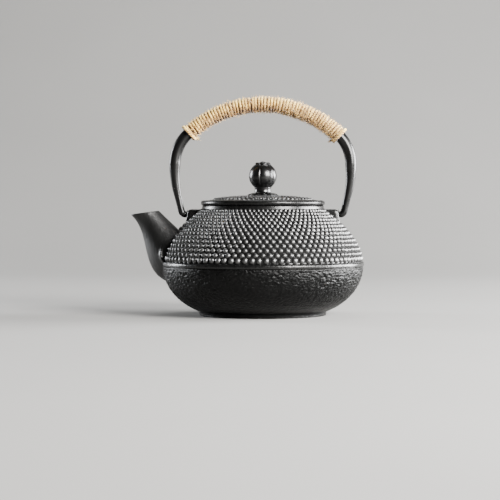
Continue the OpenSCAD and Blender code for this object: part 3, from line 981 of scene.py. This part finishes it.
def bail_rod():
    """The enamelled rod with its hooked ends, a little uneven from the forge."""
    hook = 22 * MM
    stations = np.concatenate([
        np.linspace(-BAIL_HALF, -BAIL_HALF + hook, 60),
        np.linspace(-BAIL_HALF + hook + 0.6 * MM, BAIL_HALF - hook - 0.6 * MM, 260),
        np.linspace(BAIL_HALF - hook, BAIL_HALF, 60)])

    def radius_at(s, a):
        """The rod's radius, uneven only where it is bare and clear of the lugs."""
        z = bail_at(s)[0][1]
        uneven = noise.noise(Vector((s * 95, math.cos(a) * 0.8, math.sin(a) * 0.8)))
        free = float(smoothstep(PIVOT_Z + 4 * MM, PIVOT_Z + 14 * MM, z)
                     * smoothstep(0, 4 * MM, max(WRAP_FROM - s, s - WRAP_TO)))
        return rod_radius(s, z) + 0.10 * MM * uneven * free

    return build("bail_rod", *sleeve(stations, 36, radius_at), bail_gloss)


TWINE_PITCH = 2.35 * MM
TWINE_HALF_THICK = (WRAP_R - BAIL_R) / 2
PLY_R = 0.39 * MM
PLY_LAY = 6.4 * MM


class Tubes:
    """Tubes that grow into one mesh, with their length and girth as UVs."""

    def __init__(self):
        self.points, self.faces, self.uvs = [], [], []

    def add(self, path, sides, radius, u0=0.0):
        """Adds a closed tube along path. radius is a list, and u0 where its length starts."""
        path = np.asarray(path, float)
        tangents = np.gradient(path, axis=0)
        tangents /= np.linalg.norm(tangents, axis=1)[:, None] + 1e-12
        normals = np.cross(tangents, (0.3, 0.9, 0.2))
        for i, tangent in enumerate(tangents):
            n = normals[i] if i == 0 else normals[i - 1] - tangent * np.dot(normals[i - 1], tangent)
            normals[i] = n / (np.linalg.norm(n) + 1e-12)
        angles = np.arange(sides) * TAU / sides
        rings = path[:, None, :] + np.asarray(radius, float)[:, None, None] * (
            normals[:, None, :] * np.cos(angles)[None, :, None]
            + np.cross(tangents, normals)[:, None, :] * np.sin(angles)[None, :, None])
        points, faces = skin(rings)
        first = len(self.points)
        self.points.extend(points)
        self.faces.extend(tuple(first + i for i in face) for face in faces)
        steps = np.concatenate([[0], np.cumsum(np.linalg.norm(np.diff(path, axis=0), axis=1))]) + u0
        self.uvs.extend((step, j / sides) for step in steps for j in range(sides))

    def build(self, name, material):
        """The mesh object, with lengths in centimetres in its UV map."""
        return build_with_uvs(name, self.points, self.faces, self.uvs, material)


def build_with_uvs(name, points, faces, uvs, material):
    """A mesh object with a UV map from (length in metres, share of the girth) per point."""
    obj = build(name, points, faces, material, weld=0)
    corner = np.zeros(len(obj.data.loops), dtype=np.int64)
    obj.data.loops.foreach_get("vertex_index", corner)
    pairs = np.asarray(uvs, float)[corner] * (100.0, 1.0)
    obj.data.uv_layers.new(name="UVMap").data.foreach_set("uv", pairs.ravel())
    return obj


def three_plies(centre, radial, along, half_out, half_along, twist):
    """Where the three plies of a strand about centre lie, at a twist in radians."""
    return [centre + radial * (half_out * math.cos(twist + TAU * k / 3))
            + along * (half_along * math.sin(twist + TAU * k / 3)) for k in range(3)]


def twine_wrap():
    """Three plies laid into one flattened strand, wound closely over the grip."""
    turns = (WRAP_TO - WRAP_FROM) / TWINE_PITCH
    length = turns * TAU * (BAIL_R + TWINE_HALF_THICK)
    steps = int(length / (0.62 * MM))
    end_gap = 1.1 * MM
    half_out, half_along = 0.42 * MM, 0.49 * MM
    laid, thick = [], []
    for i in range(steps + 1):
        t = i / steps
        s = WRAP_FROM + end_gap + t * (WRAP_TO - WRAP_FROM - 2 * end_gap)
        wander = 0.48 * MM * noise.noise(Vector((t * turns * 0.9, 0.5, 2.5)))
        lift = 0.34 * MM * noise.noise(Vector((t * turns * 1.7, 4.5, 0.5)))
        swell = 1 + 0.24 * noise.noise(Vector((t * length * 140, 9.5, 3.5)))
        middle, radial, along = bail_frame(s + wander, t * turns * TAU)
        centre = middle + radial * (BAIL_R + TWINE_HALF_THICK + lift)
        laid.append(three_plies(centre, radial, along, half_out * swell, half_along * swell,
                                TAU * t * length / PLY_LAY))
        thick.append(PLY_R * swell)
    tubes = Tubes()
    for k, ply in enumerate(zip(*laid)):
        tubes.add(ply, 7, thick, u0=0.37 * k)
    return tubes.build("twine_strand", hemp)


def twine_underlay():
    """The first layer of twine, in hemp darkened with painted shade, seen as brown shadow between
    the turns above it.
    """
    steps = 150
    sides = 40

    def radius_at(s, a):
        """The layer's rough outside."""
        rough = noise.noise(Vector((s * 600, math.cos(a) * 3, math.sin(a) * 3)))
        return BAIL_R + (0.55 + 0.22 * rough) * MM

    stations = np.linspace(WRAP_FROM + 0.8 * MM, WRAP_TO - 0.8 * MM, steps + 1)
    uvs = [(0.04 * j / sides, i / 6) for i in range(steps + 1) for j in range(sides)]
    return build_with_uvs("twine_underlay", *sleeve(stations, sides, radius_at), uvs, hemp_painted_shade)


def twine_fuzz():
    """Loose fibres that stand off the twine, more of them under the far half of the grip."""
    rng = random.Random(5)
    tubes = Tubes()
    for _ in range(3400):
        far = rng.random() < 0.3
        s = rng.uniform(0.25 * WRAP_TO if far else WRAP_FROM + 1 * MM, WRAP_TO - 1 * MM)
        turn = rng.gauss(math.pi, 0.7) if far else rng.uniform(0, TAU)
        middle, radial, along = bail_frame(s, turn)
        around = np.cross(along, radial)
        sign = rng.choice((-1, 1))
        way = around * sign + radial * rng.uniform(0.15, 0.75) + along * rng.uniform(-0.5, 0.5)
        size = rng.uniform(1.2, 3.4) * MM * (1.5 if rng.random() < 0.08 else 1.0)
        curl = np.array([rng.uniform(-1, 1) for _ in range(3)])
        path = [middle + radial * (WRAP_R - 0.35 * MM)]
        for _ in range(5):
            way = way / np.linalg.norm(way)
            path.append(path[-1] + way * size / 5)
            way = way + curl * 0.28 - radial * 0.10
        reach = max(np.linalg.norm(point - middle) for point in path)
        if reach <= WRAP_R + 2.6 * MM:
            tubes.add(path, 3, [0.075 * MM] * 5 + [0.03 * MM])
    return tubes.build("twine_fibres", hemp_fuzz)


def last_turn(tubes, side, end, start):
    """The thicker last turn of the wrap at its end on one side, from the turn start."""
    steps = 84
    laid = []
    for i in range(steps + 1):
        t = i / steps
        middle, radial, along = bail_frame(end - side * (1.0 + 0.9 * t) * MM,
                                           start + side * t * TAU * 1.12)
        laid.append(three_plies(middle + radial * (WRAP_R + 0.25 * MM), radial, along,
                                0.46 * MM, 0.62 * MM, TAU * t * 6.5))
    for k, ply in enumerate(zip(*laid)):
        tubes.add(ply, 8, [0.56 * MM] * (steps + 1), u0=0.21 * k)


def frayed_tail(tubes, side, end, start, rng):
    """The tail tucked under the last turn: three short plies and a tuft of fibres."""
    middle, radial, along = bail_frame(end - side * 2.4 * MM, start)
    root = middle + radial * (WRAP_R + 0.1 * MM)
    lean = radial * 0.75 - along * side * 0.35 + np.array([0, -0.35, 0])
    lean /= np.linalg.norm(lean)
    around = np.cross(along, radial)
    laid = [three_plies(root + lean * (i * 0.30 - 0.8) * MM, radial, around,
                        0.42 * MM, 0.42 * MM, i * 0.7) for i in range(9)]
    for ply in zip(*laid):
        tubes.add(ply, 7, [0.55 * MM] * 7 + [0.4 * MM, 0.15 * MM])
    for _ in range(60):
        way = lean + np.array([rng.uniform(-0.7, 0.7) for _ in range(3)])
        foot = root + lean * rng.uniform(0.2, 1.4) * MM
        reach = rng.uniform(0.25, 0.62) * MM
        tubes.add([foot + way * (j * reach) for j in range(5)], 3, [0.07 * MM] * 4 + [0.02 * MM])


def twine_ends():
    """The last turn and the frayed tail at each end of the wrap."""
    tubes = Tubes()
    rng = random.Random(31)
    start = math.pi * 0.86
    for side, end in ((-1, WRAP_FROM), (1, WRAP_TO)):
        last_turn(tubes, side, end, start)
        frayed_tail(tubes, side, end, start, rng)
    return tubes.build("twine_end_turns", hemp)


def make_bail():
    """The rod and its twine, all on the bail's body."""
    place(bail_rod(), "bail", "bail_enamel", "bail")
    place(twine_wrap(), "bail", "twine", "twine_wrap")
    place(twine_underlay(), "bail", "twine")
    place(twine_fuzz(), "bail", "twine")
    place(twine_ends(), "bail", "twine")


# ---------------------------------------------------------------- infuser
def infuser_rim():
    """The pressed rim: a rolled outer edge, a flat, and a turned-down throat."""
    r_out, r_in = rim_high.x, basket_high.x - 0.8 * MM
    z = rim_low.z
    t = rim_high.z - z
    outline = np.concatenate([
        line((r_in, z), (r_out - 0.5 * MM, z), 6),
        ellipse_arc((r_out - 0.4 * MM, z + t / 2), 0.4 * MM, t / 2, -80, 80, 6),
        line((r_out - 1.2 * MM, z + t * 0.8), (r_in + 1.0 * MM, z + t * 0.8), 6),
        line((r_in + 0.3 * MM, z + t), (r_in, z + t * 0.7), 2)])
    return build("infuser_rolled_rim", *skin(revolve(outline, 240), loop=True), steel)


def holed_sheet(place_at, columns, rows, hole):
    """A thin sheet of square cells with a round hole in each, joined into a ring.
    place_at(u, v, side) is a point at cell coordinates u and v, on side 0 or 1."""
    square = ((0, 0), (0.5, 0), (1, 0), (1, 0.5), (1, 1), (0.5, 1), (0, 1), (0, 0.5))
    sides = len(square)
    angles = [TAU * (k - 3) / sides for k in range(sides)]
    points, faces = [], []
    index = {}

    def corner(i, j, side):
        """Shared corner or middle of an edge between cells."""
        key = (i % columns, j, side)
        if key not in index:
            index[key] = len(points)
            points.append(place_at(*key))
        return index[key]

    def join(ring, other):
        """Quads between two rings of as many points as the square."""
        faces.extend((ring[k - 1], ring[k], other[k], other[k - 1]) for k in range(sides))

    for i in range(columns):
        for j in range(rows):
            round_hole = []
            for side in (0, 1):
                round_hole.append(range(len(points), len(points) + sides))
                points.extend(place_at(i + 0.5 + hole * math.cos(a), j + 0.5 + hole * math.sin(a),
                                       side) for a in angles)
                join([corner(i + du, j + dv, side) for du, dv in square], round_hole[side])
            join(*round_hole)
        for j in (0, rows):
            faces += [(corner(u, j, 0), corner(u + 0.5, j, 0), corner(u + 0.5, j, 1),
                       corner(u, j, 1)) for u in (i, i + 0.5)]
    return points, faces


def infuser_wall():
    """The perforated wall, a rolled sheet of small round holes."""
    r_out, z0, z1 = basket_high.x, basket_low.z, basket_high.z
    columns, rows = 132, 30

    def at(u, v, side):
        """Point on the inner or outer face."""
        a = TAU * u / columns
        r = r_out - (0.1 + 0.5 * side) * MM
        z = z0 + 0.4 * MM + (z1 - z0 - 0.8 * MM) * v / rows
        return (r * math.cos(a), r * math.sin(a), z)

    return build("infuser_mesh_wall", *holed_sheet(at, columns, rows, 0.30), steel_mesh)


def infuser_floor():
    """The perforated floor: rings of cells from the middle out."""
    r_out, z0 = floor_high.x, floor_low.z
    columns, rows = 96, 16

    def at(u, v, side):
        """Point on the upper or lower face."""
        a = TAU * u / columns
        r = 3 * MM + (r_out - 3.2 * MM) * v / rows
        return (r * math.cos(a), r * math.sin(a), z0 + (0.15 + 0.5 * side) * MM)

    points, faces = holed_sheet(at, columns, rows, 0.28)
    hub_points, hub_faces = turned([
        (0, z0 + 0.1 * MM), (3.1 * MM, z0 + 0.1 * MM), (3.3 * MM, z0 + 0.4 * MM),
        (3.1 * MM, z0 + 0.75 * MM), (0, z0 + 0.75 * MM)], columns)
    base = len(points)
    points += list(hub_points)
    faces += [tuple(base + i for i in face) for face in hub_faces]
    return build("infuser_mesh_floor", points, faces, steel_mesh)


def infuser_hoop():
    """The hoop that clamps the wall to the floor, with rolled edges."""
    r_in, r_out = basket_high.x + 0.02 * MM, hoop_high.x
    mid, half = (r_in + r_out) / 2, (r_out - r_in) / 2
    z0, z1 = hoop_low.z, hoop_high.z
    outline = np.concatenate([
        line((r_in, z0 + 0.3 * MM), (r_in, z1 - 0.3 * MM), 4),
        ellipse_arc((mid, z1 - 0.4 * MM), half, 0.4 * MM, 170, 10, 6),
        line((r_out - 0.12 * MM, z1 - 0.9 * MM), (r_out - 0.12 * MM, z0 + 0.9 * MM), 4),
        ellipse_arc((mid, z0 + 0.4 * MM), half, 0.4 * MM, -10, -170, 6)])
    return build("infuser_rolled_hoop", *skin(revolve(outline, 240), loop=True), steel)


def make_infuser():
    """The basket that hangs in the neck."""
    place(infuser_rim(), "infuser", "steel", "infuser_rim")
    place(infuser_wall(), "infuser", "steel_mesh", "infuser_wall")
    place(infuser_floor(), "infuser", "steel_mesh", "infuser_floor")
    place(infuser_hoop(), "infuser", "steel", "infuser_band")


# ---------------------------------------------------------------- studio
def make_stage():
    """A pale floor that curves up into a pale backdrop behind the pot."""
    half = 2.4
    bend = 0.9
    far = 1.6
    profile = [(-2.6, 0.0), (0.0, 0.0), (far - bend, 0.0)]
    profile += [(far - bend + bend * math.sin(a), bend - bend * math.cos(a))
                for a in np.linspace(0.1, math.pi / 2, 14)]
    profile.append((far, 2.6))
    points = [(x, y, z) for y, z in profile for x in (-half, half)]
    faces = [(2 * i, 2 * i + 1, 2 * i + 3, 2 * i + 2) for i in range(len(profile) - 1)]
    mesh = bpy.data.meshes.new("studio_floor")
    mesh.from_pydata(points, [], faces)
    mesh.polygons.foreach_set("use_smooth", [True] * len(faces))
    mesh.materials.append(paper_material("studio_paper", (0.20, 0.197, 0.19)))
    floor = bpy.data.objects.new("studio_floor", mesh)
    bpy.context.scene.collection.objects.link(floor)


def area_light(name, place_, target, width, height, watts, colour):
    """A soft box at place_ that faces target."""
    data = bpy.data.lights.new(name, "AREA")
    data.shape = "RECTANGLE"
    data.size = width
    data.size_y = height
    data.energy = watts
    data.color = colour
    obj = bpy.data.objects.new(name, data)
    obj.location = place_
    obj.rotation_euler = (Vector(target) - Vector(place_)).to_track_quat("-Z", "Y").to_euler()
    bpy.context.scene.collection.objects.link(obj)


def make_lights():
    """A low key soft box at the front right, a rim box behind each side, a weak one above,
    and a dim room."""
    aim = (0, 0, 0.07)
    white = (1.0, 1.0, 1.0)
    area_light("key_front_right", (0.86, -0.93, 0.55), aim, 0.62, 0.66, 130, (1.0, 0.985, 0.96))
    area_light("rim_right", (1.24, 0.22, 0.28), aim, 1.0, 0.6, 150, white)
    area_light("rim_left", (-1.12, 0.58, 0.32), aim, 0.24, 0.5, 26, (0.95, 0.97, 1.0))
    area_light("top_back", (0.1, 0.4, 1.2), aim, 0.7, 0.4, 9, white)
    world = bpy.data.worlds.new("studio")
    world.use_nodes = True
    background = world.node_tree.nodes["Background"]
    background.inputs["Color"].default_value = (0.8, 0.82, 0.85, 1)
    background.inputs["Strength"].default_value = 0.05
    bpy.context.scene.world = world


def make_camera():
    """Level with the lid and 1.3 m in front of the pot, looking along +Y and a little down."""
    data = bpy.data.cameras.new("camera")
    data.sensor_width = 36.0
    data.lens = 126.3
    camera = bpy.data.objects.new("camera", data)
    eye = Vector((0, -1.3, 0.083))
    target = Vector((-9.5 * MM, 0, 48.2 * MM))
    camera.location = eye
    camera.rotation_euler = (target - eye).to_track_quat("-Z", "Y").to_euler()
    bpy.context.scene.collection.objects.link(camera)
    bpy.context.scene.camera = camera


make_camera()
make_lights()
make_stage()
make_pot()
make_lid()
make_bail()
make_infuser()
